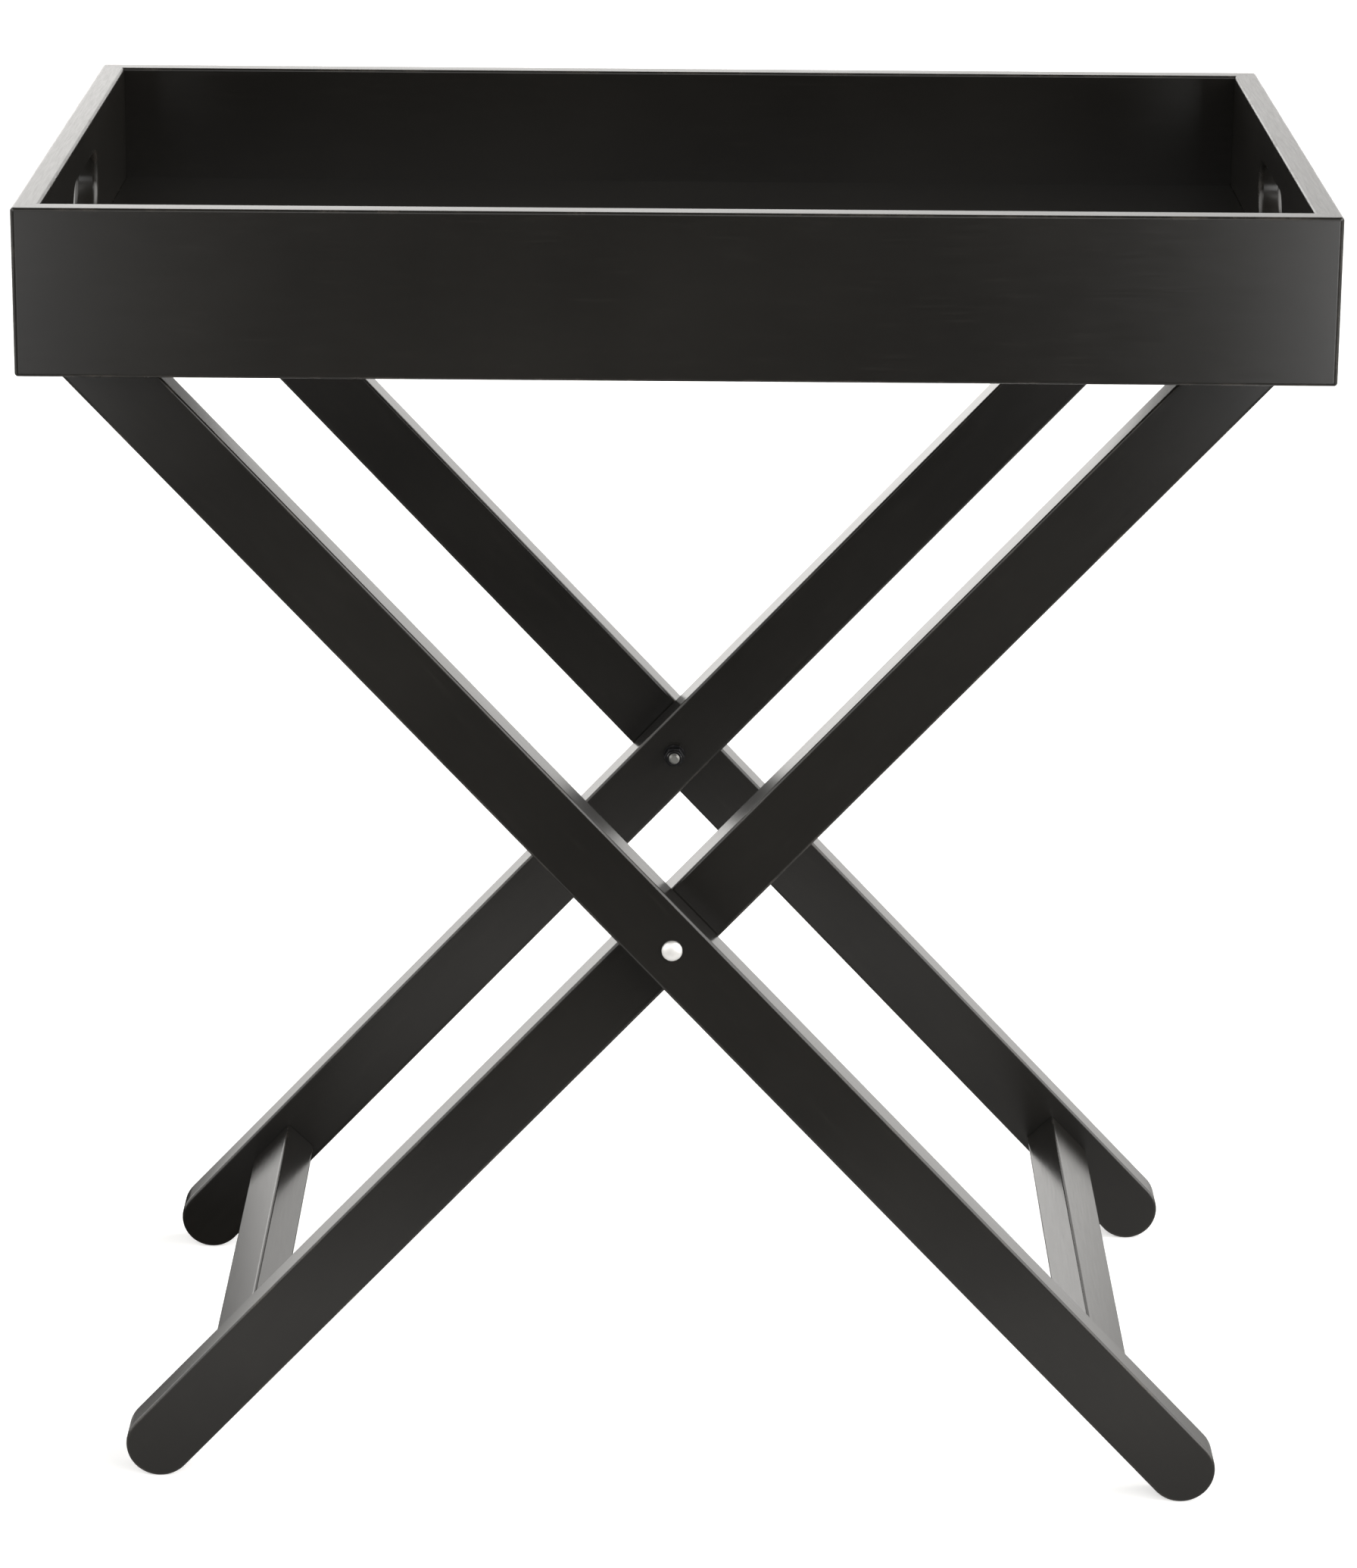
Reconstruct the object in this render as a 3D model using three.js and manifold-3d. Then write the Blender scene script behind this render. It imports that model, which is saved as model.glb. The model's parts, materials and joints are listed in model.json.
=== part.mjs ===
// A folding tray table: a lift-off butler's tray on an X-frame stand.
//
// Millimetres, +Z up. X runs along the tray's long side and Y across it, with the front at -Y.
// The origin lies on the ground under the middle of the table.
// The stand is two frames that nest and turn about one line of pivot bolts. The outer frame leans from
// the top left to the bottom right, and the inner frame is the same frame turned half round, narrower.
import * as THREE from "three";
import { mergeVertices } from "three/addons/utils/BufferGeometryUtils.js";
import Module from "manifold-3d";

// ---------------------------------------------------------------- driving dimensions

// Tray
const TRAY_LENGTH = 640; // outside, along X
const TRAY_WIDTH = 430; // outside, along Y
const WALL_HEIGHT = 82.6;
const WALL_THICKNESS = 13;
const WALL_BOTTOM = 595.1; // the walls' lower edge above the ground
const WALL_EDGE_ROUND = 1.5;
const TRAY_CORNER_ROUND = 2.5;
const FLOOR_RECESS = 11.7; // from the walls' lower edge up to the floor's underside
const FLOOR_THICKNESS = 10;
const TONGUE_THICKNESS = 5; // the floor's edge is stepped down to this, and enters the wall grooves
const GROOVE_DEPTH = 5;
const HAND_HOLE_LENGTH = 114;
const HAND_HOLE_HEIGHT = 30;
const HAND_HOLE_BELOW_RIM = 35; // from the rim down to the middle of the slot
const CORNER_DOWEL = { radius: 2.5, length: 15, inset: 3.2, heights: [33, 63] };

// Stand
const LEG_ANGLE = THREE.MathUtils.degToRad(46.7); // above the horizontal, set up
const LEG_WIDTH = 35;
const LEG_THICKNESS = 22;
const LEG_EDGE_ROUND = 2;
const FOOT_REACH = 387.2; // from the pivot to the middle of the round foot
const STAND_HALF_WIDTH = 196.5; // from the middle plane to the outer legs' outer faces
const LEG_SPACING = 1.6; // between an outer leg and the inner leg beside it
const RAIL_RADIUS = 9.4; // the round top rails, which carry the tray
const RAIL_TENON = { radius: 5, length: 14 };
const STRETCHER = { width: 30, thickness: 20, reach: 329, middle: -2.8, edgeRound: 1.5 };
// reach: from the pivot to its middle, along the legs; middle: above the legs' middle line
const STRETCHER_DOWEL = { radius: 3.75, length: 28, inLeg: 13.5, spread: 7.5 };
const FOLD_TURN = THREE.MathUtils.degToRad(40); // a leg turns this far under the tray when folded

// Pivot hardware
const BOLT_RADIUS = 3;
const BOLT_HEAD = { radius: 5.25, rim: 0.7, dome: 2.6 };
const BOLT_END_LENGTH = 1.6; // how far the bolt shows past its nut
const NUT = { acrossFlats: 10, hexHeight: 4.4, collarRadius: 4.3, collarHeight: 1.6 };
const SPACER = { radius: 9, thickness: 1.2 };
const NUT_WASHER = { radius: 6, thickness: 1.2 };

// Fits
const FIT_GAP = 0.3; // between two pieces that touch
const FACE_GAP = 0.2; // each side of a washer
const TURNING_GAP = 0.15; // round the bolt, in the leg it turns in

// ---------------------------------------------------------------- derived dimensions

const PIVOT_HEIGHT = LEG_WIDTH / 2 + FOOT_REACH * Math.sin(LEG_ANGLE);
const RAIL_HEIGHT = WALL_BOTTOM + FLOOR_RECESS - FIT_GAP - RAIL_RADIUS;
const RAIL_REACH = (RAIL_HEIGHT - PIVOT_HEIGHT) / Math.sin(LEG_ANGLE);
const OUTER_LEG_INSIDE = STAND_HALF_WIDTH - LEG_THICKNESS;
const INNER_LEG_INSIDE = OUTER_LEG_INSIDE - LEG_SPACING - LEG_THICKNESS;

// ---------------------------------------------------------------- facets

const HOLE_SIDES = 24;
const RAIL_SIDES = 28;
const DOWEL_SIDES = 16;
const FOOT_FACETS = 12; // in each arc of a leg's outline
const SLOT_FACETS = 10; // in each quarter of a hand hole
const EDGE_FACETS = 3; // in each rounded edge
const DOME_FACETS = 6;
const TOOL_OVERRUN = 1; // how far a cutting tool runs past the face that it cuts

// ---------------------------------------------------------------- materials

const finishes = {
  blackLacquer: { color: 0x211f1c, roughness: 0.38, metalness: 0 },
  steel: { color: 0xd9d9d6, roughness: 0.22, metalness: 1 },
  blackSteel: { color: 0x1d1d1d, roughness: 0.45, metalness: 1 },
  nylon: { color: 0x2a2a2a, roughness: 0.6, metalness: 0 },
  beech: { color: 0xc79a62, roughness: 0.7, metalness: 0 },
};

/** A named node with a material of its own. */
function node(name, geometry, finish) {
  const mesh = new THREE.Mesh(geometry, new THREE.MeshStandardMaterial(finishes[finish]));
  mesh.name = name;
  return mesh;
}

// ---------------------------------------------------------------- solid modelling

const wasm = await Module();
wasm.setup();

/** A closed three.js geometry as a manifold-3d solid. */
function solidOf(geometry) {
  const bare = geometry.clone();
  bare.deleteAttribute("normal");
  bare.deleteAttribute("uv");
  const merged = mergeVertices(bare);
  return new wasm.Manifold(
    new wasm.Mesh({
      numProp: 3,
      vertProperties: merged.attributes.position.array,
      triVerts: new Uint32Array(merged.index.array),
    }),
  );
}

/** A manifold-3d solid as a three.js geometry. */
function geometryOf(solid) {
  const mesh = solid.getMesh();
  const geometry = new THREE.BufferGeometry();
  geometry.setAttribute("position", new THREE.BufferAttribute(mesh.vertProperties, 3));
  geometry.setIndex(new THREE.BufferAttribute(mesh.triVerts, 1));
  geometry.computeVertexNormals();
  return geometry;
}

function cut(body, tools) {
  const start = solidOf(body);
  return geometryOf(tools.reduce((rest, tool) => rest.subtract(solidOf(tool)), start));
}

function join(first, second) {
  return geometryOf(solidOf(first).add(solidOf(second)));
}

function common(first, second) {
  return geometryOf(solidOf(first).intersect(solidOf(second)));
}

// ---------------------------------------------------------------- shapes

/** An outline swept straight along +Z from `from` to `to`. */
function prism(shape, from, to, facets) {
  const options = { depth: to - from, bevelEnabled: false, curveSegments: facets };
  return new THREE.ExtrudeGeometry(shape, options).translate(0, 0, from);
}

/** A prism whose face edges are rounded, with the outline at full size in between. */
function softPrism(shape, from, to, round, facets) {
  const options = {
    depth: to - from - 2 * round,
    bevelThickness: round,
    bevelSize: round,
    bevelOffset: -round,
    bevelSegments: 2,
    curveSegments: facets,
  };
  return new THREE.ExtrudeGeometry(shape, options).translate(0, 0, from + round);
}

/** A rectangle round (x, y) with rounded corners. */
function softRectangle(x, y, width, height, round) {
  const [left, right, low, high] = [x - width / 2, x + width / 2, y - height / 2, y + height / 2];
  const shape = new THREE.Shape();
  shape.absarc(right - round, high - round, round, 0, Math.PI / 2);
  shape.absarc(left + round, high - round, round, Math.PI / 2, Math.PI);
  shape.absarc(left + round, low + round, round, Math.PI, 1.5 * Math.PI);
  shape.absarc(right - round, low + round, round, 1.5 * Math.PI, 2 * Math.PI);
  return shape;
}

/** A flat ring standing on Y = from, along +Y. */
function ring(outer, inner, from, to) {
  const profile = [
    new THREE.Vector2(inner, from),
    new THREE.Vector2(outer, from),
    new THREE.Vector2(outer, to),
    new THREE.Vector2(inner, to),
    new THREE.Vector2(inner, from),
  ];
  return new THREE.LatheGeometry(profile, HOLE_SIDES);
}

/** A round bar or drill along Z, from `from` to `to`, whose axis passes through (x, y). */
function roundBar(radius, x, y, from, to, sides = HOLE_SIDES) {
  return new THREE.CylinderGeometry(radius, radius, to - from, sides)
    .rotateX(Math.PI / 2)
    .translate(x, y, (from + to) / 2);
}

/** A drill that starts `from` the middle plane and goes outwards on one side of the frame. */
function sideDrill(radius, x, y, side, from, to, sides) {
  const [low, high] = side > 0 ? [from, to] : [-to, -from];
  return roundBar(radius, x, y, low, high, sides);
}

// ---------------------------------------------------------------- stand
//
// A frame is drawn flat: X along the legs with the top at +X, Y across them with the upper side at +Y,
// Z across the table, and the pivot at the origin.

/**
 * A leg's outline. The foot is a half round. The top is cut so that it clears the tray's floor both set
 * up and folded: two straight cuts joined by an arc about the rail, each a little lower than the rail.
 */
function legOutline() {
  const half = LEG_WIDTH / 2;
  const noseRadius = RAIL_RADIUS - FIT_GAP;
  const foldedAngle = LEG_ANGLE + FOLD_TURN;
  const cutEnd = (angle, across) => (noseRadius - across * Math.cos(angle)) / Math.sin(angle);
  const shape = new THREE.Shape();
  shape.moveTo(-FOOT_REACH, -half);
  shape.lineTo(RAIL_REACH + cutEnd(foldedAngle, -half), -half);
  shape.absarc(RAIL_REACH, 0, noseRadius, Math.PI / 2 - foldedAngle, Math.PI / 2 - LEG_ANGLE);
  shape.lineTo(RAIL_REACH + cutEnd(LEG_ANGLE, half), half);
  shape.absarc(-FOOT_REACH, 0, half, Math.PI / 2, 1.5 * Math.PI);
  return shape;
}

/** The places of a stretcher's dowels along the leg. */
function dowelPlaces() {
  return [-1, 1].map((end) => -STRETCHER.reach + end * STRETCHER_DOWEL.spread);
}

/** A leg, bored for its pivot bolt, its rail's tenon and its stretcher's dowels. */
function legGeometry(side, inside) {
  const outside = inside + LEG_THICKNESS;
  const [low, high] = side > 0 ? [inside, outside] : [-outside, -inside];
  const board = softPrism(legOutline(), low, high, LEG_EDGE_ROUND, FOOT_FACETS);
  const past = inside - TOOL_OVERRUN;
  const farSide = outside + TOOL_OVERRUN;
  const pivotBore = sideDrill(BOLT_RADIUS + TURNING_GAP, 0, 0, side, past, farSide);
  const tenonDepth = inside + RAIL_TENON.length + FIT_GAP;
  const tenonBore = sideDrill(RAIL_TENON.radius + FIT_GAP, RAIL_REACH, 0, side, past, tenonDepth);
  const dowelDepth = inside + STRETCHER_DOWEL.inLeg + FIT_GAP;
  const dowelBores = dowelPlaces().map((x) =>
    sideDrill(
      STRETCHER_DOWEL.radius + FIT_GAP,
      x,
      STRETCHER.middle,
      side,
      past,
      dowelDepth,
      DOWEL_SIDES,
    ),
  );
  return cut(board, [pivotBore, tenonBore, ...dowelBores]);
}

/** The low bar between two legs, bored for its dowels at both ends. */
function stretcherGeometry(inside) {
  const end = inside - FIT_GAP;
  const { width, thickness, reach, edgeRound } = STRETCHER;
  const section = softRectangle(-reach, STRETCHER.middle, width, thickness, edgeRound);
  const bar = prism(section, -end, end, EDGE_FACETS);
  const depth = STRETCHER_DOWEL.length - STRETCHER_DOWEL.inLeg + FIT_GAP;
  const bores = [-1, 1].flatMap((side) =>
    dowelPlaces().map((x) =>
      sideDrill(
        STRETCHER_DOWEL.radius + FIT_GAP,
        x,
        STRETCHER.middle,
        side,
        inside - depth,
        inside + TOOL_OVERRUN,
        DOWEL_SIDES,
      ),
    ),
  );
  return cut(bar, bores);
}

/** The round top rail with a tenon at each end. */
function railGeometry(inside) {
  const shoulder = inside - FIT_GAP;
  const tip = inside + RAIL_TENON.length;
  const chamfer = 0.8;
  const half = [
    [RAIL_RADIUS, shoulder - chamfer],
    [RAIL_RADIUS - chamfer, shoulder],
    [RAIL_TENON.radius, shoulder],
    [RAIL_TENON.radius, tip - chamfer],
    [RAIL_TENON.radius - chamfer, tip],
    [0, tip],
  ];
  const upper = half.map(([radius, height]) => new THREE.Vector2(radius, height));
  const lower = half.map(([radius, height]) => new THREE.Vector2(radius, -height)).reverse();
  return new THREE.LatheGeometry([...lower, ...upper], RAIL_SIDES)
    .rotateX(Math.PI / 2)
    .translate(RAIL_REACH, 0, 0);
}

/** One frame of the stand: two legs, the top rail, the stretcher and its dowels. */
function standFrame(name, inside, frontSide) {
  const frame = new THREE.Group();
  frame.add(node(`${name}_stretcher`, stretcherGeometry(inside), "blackLacquer"));
  frame.add(node(`${name}_top_rail`, railGeometry(inside), "blackLacquer"));
  for (const side of [-1, 1]) {
    const end = side === frontSide ? "front" : "back";
    frame.add(node(`${name}_leg_${end}`, legGeometry(side, inside), "blackLacquer"));
    dowelPlaces().forEach((x, index) => {
      const outer = inside + STRETCHER_DOWEL.inLeg;
      const inner = outer - STRETCHER_DOWEL.length;
      const { radius } = STRETCHER_DOWEL;
      const pin = sideDrill(radius, x, STRETCHER.middle, side, inner, outer, DOWEL_SIDES);
      const level = index === 0 ? "low" : "high";
      frame.add(node(`${name}_stretcher_dowel_${end}_${level}`, pin, "beech"));
    });
  }
  return frame;
}

// ---------------------------------------------------------------- pivot hardware
//
// Drawn along +Y, which points outwards, with the table's middle plane at Y = 0.

function boltGeometry(end, seat) {
  const chamfer = 0.6;
  const dome = new THREE.EllipseCurve(0, seat + BOLT_HEAD.rim, BOLT_HEAD.radius, BOLT_HEAD.dome);
  dome.aEndAngle = Math.PI / 2;
  const profile = [
    new THREE.Vector2(0, end),
    new THREE.Vector2(BOLT_RADIUS - chamfer, end),
    new THREE.Vector2(BOLT_RADIUS, end + chamfer),
    new THREE.Vector2(BOLT_RADIUS, seat),
    new THREE.Vector2(BOLT_HEAD.radius, seat),
    ...dome.getPoints(DOME_FACETS),
  ];
  profile.at(-1).x = 0;
  return new THREE.LatheGeometry(profile, HOLE_SIDES);
}

/** A lock nut: a hexagon with a round collar on its inner side. */
function nutGeometry(seat) {
  const { acrossFlats, hexHeight, collarRadius, collarHeight } = NUT;
  const bore = BOLT_RADIUS + TURNING_GAP;
  const corner = acrossFlats / 2 / Math.cos(Math.PI / 6);
  const collarEnd = seat - hexHeight - collarHeight;
  const collar = ring(collarRadius, bore, collarEnd, seat - hexHeight / 2);
  const hexagon = new THREE.CylinderGeometry(corner, corner, hexHeight, 6).translate(
    0,
    seat - hexHeight / 2,
    0,
  );
  const drill = new THREE.CylinderGeometry(bore, bore, 2 * hexHeight, HOLE_SIDES).translate(
    0,
    seat - hexHeight / 2,
    0,
  );
  return join(cut(hexagon, [drill]), collar);
}

/** The bolt, nut and washers that join an outer leg to the inner leg beside it. */
function pivotHardware(end, side) {
  const washerSeat = INNER_LEG_INSIDE - FACE_GAP;
  const nutSeat = washerSeat - NUT_WASHER.thickness - FACE_GAP;
  const nutEnd = nutSeat - NUT.hexHeight - NUT.collarHeight;
  const bore = BOLT_RADIUS + TURNING_GAP;
  const spacerFrom = OUTER_LEG_INSIDE - FACE_GAP - SPACER.thickness;
  const bolt = boltGeometry(nutEnd - BOLT_END_LENGTH, STAND_HALF_WIDTH + FACE_GAP);
  const spacer = ring(SPACER.radius, bore, spacerFrom, OUTER_LEG_INSIDE - FACE_GAP);
  const washer = ring(NUT_WASHER.radius, bore, washerSeat - NUT_WASHER.thickness, washerSeat);
  const hardware = new THREE.Group();
  hardware.add(node(`pivot_bolt_${end}`, bolt, "steel"));
  hardware.add(node(`spacer_washer_${end}`, spacer, "nylon"));
  hardware.add(node(`nut_washer_${end}`, washer, "blackSteel"));
  hardware.add(node(`lock_nut_${end}`, nutGeometry(nutSeat), "blackSteel"));
  hardware.rotation.x = (side * Math.PI) / 2;
  return hardware;
}

/** Leans a flat-drawn frame at its set-up angle, with its pivot at the right height. */
function lean(frame) {
  const alongLegs = new THREE.Vector3(-Math.cos(LEG_ANGLE), 0, Math.sin(LEG_ANGLE));
  const acrossLegs = new THREE.Vector3(Math.sin(LEG_ANGLE), 0, Math.cos(LEG_ANGLE));
  const acrossTable = new THREE.Vector3(0, 1, 0);
  const basis = new THREE.Matrix4().makeBasis(alongLegs, acrossLegs, acrossTable);
  frame.quaternion.setFromRotationMatrix(basis);
  frame.position.z = PIVOT_HEIGHT;
  return frame;
}

function stand() {
  const group = new THREE.Group();
  const outer = standFrame("outer", OUTER_LEG_INSIDE, -1);
  outer.add(pivotHardware("front", -1), pivotHardware("back", 1));
  const innerHalfTurn = new THREE.Group();
  innerHalfTurn.add(lean(standFrame("inner", INNER_LEG_INSIDE, 1)));
  innerHalfTurn.rotation.z = Math.PI;
  group.add(lean(outer), innerHalfTurn);
  return group;
}

// ---------------------------------------------------------------- tray
//
// A wall is drawn with X along it, Y = 0 on its inner face, +Y outwards and Z = 0 on its lower edge.

/** A wall's end view: rounded edges, and the floor's groove in the inner face. */
function wallSection() {
  const round = WALL_EDGE_ROUND;
  const tongueLow = FLOOR_RECESS + (FLOOR_THICKNESS - TONGUE_THICKNESS) / 2;
  const grooveLow = tongueLow - FIT_GAP;
  const grooveHigh = tongueLow + TONGUE_THICKNESS + FIT_GAP;
  const section = new THREE.Shape();
  section.absarc(round, round, round, Math.PI, 1.5 * Math.PI);
  section.absarc(WALL_THICKNESS - round, round, round, 1.5 * Math.PI, 2 * Math.PI);
  section.absarc(WALL_THICKNESS - round, WALL_HEIGHT - round, round, 0, Math.PI / 2);
  section.absarc(round, WALL_HEIGHT - round, round, Math.PI / 2, Math.PI);
  section.lineTo(0, grooveHigh);
  section.lineTo(GROOVE_DEPTH, grooveHigh);
  section.lineTo(GROOVE_DEPTH, grooveLow);
  section.lineTo(0, grooveLow);
  return section;
}

/** A wall's plan: mitred ends, with half of the tray's rounded corner on each. */
function wallPlan(length) {
  const round = TRAY_CORNER_ROUND;
  const end = length / 2 - (FIT_GAP / 2) * Math.SQRT2;
  const plan = new THREE.Shape();
  plan.moveTo(-(end - WALL_THICKNESS), 0);
  plan.lineTo(end - WALL_THICKNESS, 0);
  plan.absarc(end - round, WALL_THICKNESS - round, round, Math.PI / 4, Math.PI / 2);
  plan.absarc(-(end - round), WALL_THICKNESS - round, round, Math.PI / 2, 0.75 * Math.PI);
  return plan;
}

/** A drill or dowel across a mitre, centred `inset` in from the inner face at one end of a wall. */
function mitrePin(length, end, height, radius, pinLength) {
  const { inset } = CORNER_DOWEL;
  return new THREE.CylinderGeometry(radius, radius, pinLength, DOWEL_SIDES)
    .rotateZ((-end * 3 * Math.PI) / 4)
    .translate(end * (length / 2 - WALL_THICKNESS + inset), inset, height);
}

function wallGeometry(length, hasHandHole) {
  const bar = prism(wallSection(), -length / 2, length / 2, EDGE_FACETS)
    .rotateX(Math.PI / 2)
    .rotateZ(Math.PI / 2);
  const top = WALL_HEIGHT + TOOL_OVERRUN;
  const board = common(bar, prism(wallPlan(length), -TOOL_OVERRUN, top, EDGE_FACETS));
  const { radius, length: pinLength, heights } = CORNER_DOWEL;
  const tools = [-1, 1].flatMap((end) =>
    heights.map((height) =>
      mitrePin(length, end, height, radius + FIT_GAP, pinLength + 2 * FIT_GAP),
    ),
  );
  if (hasHandHole) {
    tools.push(handHoleTool());
  }
  return cut(board, tools);
}

/** The round-ended slot of a hand hole, as a tool that goes right through a wall. */
function handHoleTool() {
  const slot = softRectangle(0, 0, HAND_HOLE_LENGTH, HAND_HOLE_HEIGHT, HAND_HOLE_HEIGHT / 2);
  return prism(slot, -WALL_THICKNESS - TOOL_OVERRUN, TOOL_OVERRUN, SLOT_FACETS)
    .rotateX(Math.PI / 2)
    .translate(0, 0, WALL_HEIGHT - HAND_HOLE_BELOW_RIM);
}

/** The floor panel, with a thinner tongue all round its edge. */
function floorGeometry() {
  const length = TRAY_LENGTH - 2 * (WALL_THICKNESS + FIT_GAP);
  const width = TRAY_WIDTH - 2 * (WALL_THICKNESS + FIT_GAP);
  const panel = new THREE.BoxGeometry(length, width, FLOOR_THICKNESS);
  const tongue = new THREE.BoxGeometry(
    length + 2 * GROOVE_DEPTH,
    width + 2 * GROOVE_DEPTH,
    TONGUE_THICKNESS,
  );
  return join(panel, tongue).translate(0, 0, FLOOR_RECESS + FLOOR_THICKNESS / 2);
}

function tray() {
  const group = new THREE.Group();
  group.position.z = WALL_BOTTOM;
  group.add(node("tray_floor", floorGeometry(), "blackLacquer"));
  const walls = [
    { name: "tray_wall_back", length: TRAY_LENGTH, turn: 0, out: TRAY_WIDTH / 2 },
    { name: "tray_wall_left", length: TRAY_WIDTH, turn: 1, out: TRAY_LENGTH / 2 },
    { name: "tray_wall_front", length: TRAY_LENGTH, turn: 2, out: TRAY_WIDTH / 2 },
    { name: "tray_wall_right", length: TRAY_WIDTH, turn: 3, out: TRAY_LENGTH / 2 },
  ];
  const corners = ["back_right", "back_left", "front_left", "front_right"];
  const levels = ["low", "high"];
  walls.forEach(({ name, length, turn, out }, index) => {
    const side = new THREE.Group();
    side.rotation.z = (turn * Math.PI) / 2;
    const hasHandHole = length === TRAY_WIDTH;
    const board = node(name, wallGeometry(length, hasHandHole), "blackLacquer");
    board.position.y = out - WALL_THICKNESS;
    side.add(board);
    CORNER_DOWEL.heights.forEach((height, level) => {
      const pin = mitrePin(length, 1, height, CORNER_DOWEL.radius, CORNER_DOWEL.length);
      const dowel = node(`corner_dowel_${corners[index]}_${levels[level]}`, pin, "beech");
      dowel.position.y = out - WALL_THICKNESS;
      side.add(dowel);
    });
    group.add(side);
  });
  return group;
}

const table = new THREE.Group();
table.add(stand(), tray());

export default table;
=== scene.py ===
"""A folding tray table in black lacquered wood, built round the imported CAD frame."""

import json
import math

import bmesh
import bpy
from mathutils import Matrix, Vector


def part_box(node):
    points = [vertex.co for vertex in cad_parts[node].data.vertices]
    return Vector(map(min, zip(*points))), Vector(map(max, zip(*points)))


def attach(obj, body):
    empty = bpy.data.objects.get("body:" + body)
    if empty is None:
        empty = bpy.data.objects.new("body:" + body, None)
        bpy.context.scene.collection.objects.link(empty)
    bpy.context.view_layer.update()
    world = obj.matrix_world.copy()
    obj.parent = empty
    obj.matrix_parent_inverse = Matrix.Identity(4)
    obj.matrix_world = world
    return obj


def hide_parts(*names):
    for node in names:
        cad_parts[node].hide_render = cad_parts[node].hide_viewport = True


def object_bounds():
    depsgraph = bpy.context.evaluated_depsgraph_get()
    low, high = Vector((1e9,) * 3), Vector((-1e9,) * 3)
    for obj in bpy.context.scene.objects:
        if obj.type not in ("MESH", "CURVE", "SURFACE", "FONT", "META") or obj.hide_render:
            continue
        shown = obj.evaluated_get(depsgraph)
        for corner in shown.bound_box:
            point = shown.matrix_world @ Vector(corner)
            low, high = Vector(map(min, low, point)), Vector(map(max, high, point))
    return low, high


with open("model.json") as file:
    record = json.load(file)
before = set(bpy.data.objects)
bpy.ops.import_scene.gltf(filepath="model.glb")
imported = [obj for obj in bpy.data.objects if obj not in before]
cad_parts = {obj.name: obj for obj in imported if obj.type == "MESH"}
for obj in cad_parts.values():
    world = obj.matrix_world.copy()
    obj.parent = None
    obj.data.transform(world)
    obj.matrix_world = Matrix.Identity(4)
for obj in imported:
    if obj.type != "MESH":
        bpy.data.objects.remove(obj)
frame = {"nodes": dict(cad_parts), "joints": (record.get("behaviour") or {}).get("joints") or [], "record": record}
cad_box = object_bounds()

MM = 0.001
joints = {joint["name"]: joint for joint in frame["joints"]}
body_of = {
    node: body
    for body, nodes in frame["record"]["behaviour"]["bodies"].items()
    for node in nodes
}

# ---------------------------------------------------------------- sizes that the frame's boxes don't give
#
# An EDGE is the radius of a rounded edge, and a GAP is the room between two pieces.

LEG_WIDTH = 35 * MM
LEG_EDGE = 1.6 * MM
TENON_RADIUS = 5 * MM
RAIL_CHAMFER = 0.8 * MM
FIT_GAP = 0.3 * MM  # between two pieces that touch, and round a dowel or a tenon
FOLD_TURN = math.radians(40)  # a leg turns this far under the tray when the stand folds
STRETCHER_WIDTH = 30 * MM
STRETCHER_THICKNESS = 20 * MM
STRETCHER_EDGE = 1.5 * MM
WALL_EDGE = 1.6 * MM
CORNER_EDGE = 2.5 * MM  # at the tray's four upright corners
HAND_HOLE_LENGTH = 114 * MM
HAND_HOLE_HEIGHT = 30 * MM
HAND_HOLE_BELOW_RIM = 35 * MM  # from the top of the wall to the middle of the hole
HAND_HOLE_EDGE = 3 * MM
MITRE_GAP = 0.05 * MM  # how far each wall stops short of the tray's corner
FLOOR_EDGE = 0.3 * MM
FLOOR_GAP = 0.05 * MM  # between the floor panel and a wall's inner face
BOLT_RADIUS = 3 * MM
BOLT_CHAMFER = 1 * MM
BOLT_HEAD_GAP = 0.2 * MM  # under the head
BOLT_HEAD_RIM = 0.7 * MM
BOLT_HEAD_CHAMFER = 0.15 * MM
THREAD_PITCH = 1 * MM
THREAD_DEPTH = 0.5 * MM
THREAD_TURNS = 10
BORE_GAP = 0.15 * MM  # round the bolt's shank
NUT_ACROSS_FLATS = 10 * MM
NUT_EDGE = 0.4 * MM
NUT_COLLAR_RADIUS = 4.3 * MM
NUT_COLLAR_HEIGHT = 1.6 * MM
WASHER_EDGE = 0.2 * MM

pivot = Vector(joints["stand_fold"]["pos_m"])
rail_axis = Vector(joints["rail_turn"]["pos_m"])
along_leg = (rail_axis - pivot).normalized()
rail_reach = (rail_axis - pivot).length
leg_angle = math.asin(along_leg.z)
foot_reach = (pivot.z - LEG_WIDTH / 2) / math.sin(leg_angle)

QUARTER = math.pi / 2
SAME_POINT = 0.005 * MM  # two points nearer than this are one
SHARP_ANGLE = math.radians(35)  # an edge that turns further than this stays crisp
GRAIN_STEP = Vector((0.37, 0.83, 0.59))  # from one piece's spot in the wood to the next one's

placed = []  # the pieces built here, in order

# ---------------------------------------------------------------- mesh building
#
# An outline is a closed list of (x, y, wear), where wear says how far the lacquer is rubbed there.


def arc(x, y, radius, start, end, steps, worn=False):
    """Points on an arc, from the angle start to the angle end."""
    points = []
    for step in range(steps + 1):
        share = step / steps
        angle = start + (end - start) * share
        wear = math.sin(math.pi * share) if worn else 0.0
        points.append((x + radius * math.cos(angle), y + radius * math.sin(angle), wear))
    return points


def circle(x, y, radius, steps, clockwise=False):
    """A closed ring of points, without wear."""
    turn = -math.tau if clockwise else math.tau
    return arc(x, y, radius, 0, turn, steps)[:-1]


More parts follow.
